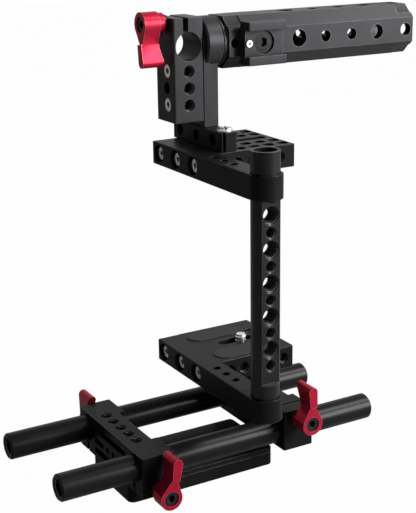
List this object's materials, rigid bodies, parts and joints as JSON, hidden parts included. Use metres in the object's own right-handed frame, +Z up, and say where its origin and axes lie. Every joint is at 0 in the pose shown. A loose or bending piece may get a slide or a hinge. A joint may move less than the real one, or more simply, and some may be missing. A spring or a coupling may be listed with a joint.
{
  "type": "camera cage",
  "caption": "Half cage for a camera on a pair of 15 mm rods, with an upright rod at one side, a top handle with an accessory shoe, and red clamp levers.",
  "frame": {"origin": "mouth of the tripod thread, in the middle of the base slab's underside", "axes": "+X points to the upright rod's side, +Y to the back of the rig along the rods, +Z up"},
  "size_m": [0.1409, 0.2477, 0.2619],
  "materials": {
    "black_anodised": "satin black anodised",
    "grey_anodised": "satin dark grey anodised",
    "red_anodised": "satin red anodised",
    "bright_steel": "turned, bright",
    "dull_steel": "plated, dull",
    "black_steel": "black oxide, satin",
    "rubber": "matt",
    "black_plastic": "matt"
  },
  "bodies": {
    "base": {"base_slab": "black_anodised", "slab_screws": "dull_steel", "front_clamp": "black_anodised"},
    "near_rod": {"near_rod": "black_anodised"},
    "far_rod": {"far_rod": "black_anodised"},
    "front_near_lever": {"front_near_lever": "red_anodised", "front_near_lever_screw": "black_steel", "front_near_lever_insert": "black_steel"},
    "front_far_lever": {"front_far_lever": "red_anodised", "front_far_lever_screw": "black_steel", "front_far_lever_insert": "black_steel"},
    "carriage": {"rear_clamp": "black_anodised", "riser_block": "black_anodised", "riser_screws": "black_steel", "camera_plate": "black_anodised", "camera_pads": "rubber", "lower_arm": "black_anodised", "lower_arm_screws": "bright_steel", "upright_rod": "black_anodised", "lower_ring_screw": "black_steel"},
    "rear_near_lever": {"rear_near_lever": "red_anodised", "rear_near_lever_screw": "black_steel", "rear_near_lever_insert": "black_steel"},
    "rear_far_lever": {"rear_far_lever": "red_anodised", "rear_far_lever_screw": "black_steel", "rear_far_lever_insert": "black_steel"},
    "camera_washer": {"camera_screw_washer": "dull_steel"},
    "camera_screw": {"camera_screw": "bright_steel"},
    "head": {"upper_ring_screw": "black_steel", "upper_arm": "black_anodised", "upper_arm_screws": "bright_steel", "top_plate": "black_anodised", "bracket_foot": "black_anodised", "bracket_foot_screws": "bright_steel", "handle_bracket": "black_anodised", "bracket_joint_screw": "black_steel", "rod_post": "grey_anodised", "rod_post_screws": "bright_steel", "handle_flange": "grey_anodised", "handle_spacer_ring": "black_plastic", "handle_bolt": "black_steel", "handle_grip": "grey_anodised", "shoe_block": "grey_anodised", "shoe_bolt": "black_steel", "shoe_stop_screw": "bright_steel"},
    "post_lever": {"post_lever": "red_anodised", "post_lever_screw": "black_steel", "post_lever_insert": "black_steel"}
  },
  "joints": [
    {"name": "near_rod_slide", "type": "slide", "parent": "base", "child": "near_rod", "axis": [0, 1, 0], "range_m": [-0.04, 0.04]},
    {"name": "far_rod_slide", "type": "slide", "parent": "base", "child": "far_rod", "axis": [0, 1, 0], "range_m": [-0.04, 0.04]},
    {"name": "front_near_lever_turn", "type": "hinge", "parent": "base", "child": "front_near_lever", "pos_m": [0.0406, -0.0371, 0.0141], "axis": [1, 0, 0], "range_deg": [-90, 90]},
    {"name": "front_far_lever_turn", "type": "hinge", "parent": "base", "child": "front_far_lever", "pos_m": [-0.0406, -0.0371, 0.0141], "axis": [-1, 0, 0], "range_deg": [-90, 90]},
    {"name": "carriage_slide", "type": "slide", "parent": "base", "child": "carriage", "axis": [0, 1, 0], "range_m": [-0.05, 0.04]},
    {"name": "rear_near_lever_turn", "type": "hinge", "parent": "carriage", "child": "rear_near_lever", "pos_m": [0.0406, 0.0532, 0.0351], "axis": [1, 0, 0], "range_deg": [-90, 90]},
    {"name": "rear_far_lever_turn", "type": "hinge", "parent": "carriage", "child": "rear_far_lever", "pos_m": [-0.0406, 0.0532, 0.0351], "axis": [-1, 0, 0], "range_deg": [-90, 90]},
    {"name": "camera_screw_slide", "type": "slide", "parent": "carriage", "child": "camera_washer", "axis": [0, 1, 0], "range_m": [-0.0112, 0.0047]},
    {"name": "camera_screw_turn", "type": "hinge", "parent": "camera_washer", "child": "camera_screw", "pos_m": [0, 0.0397, 0.0637], "axis": [0, 0, 1], "continuous": true},
    {"name": "head_height", "type": "slide", "parent": "carriage", "child": "head", "axis": [0, 0, 1], "range_m": [-0.1, 0.01]},
    {"name": "post_lever_turn", "type": "hinge", "parent": "head", "child": "post_lever", "pos_m": [-0.005, -0.0034, 0.2555], "axis": [0, -1, 0], "range_deg": [-90, 90]}
  ]
}
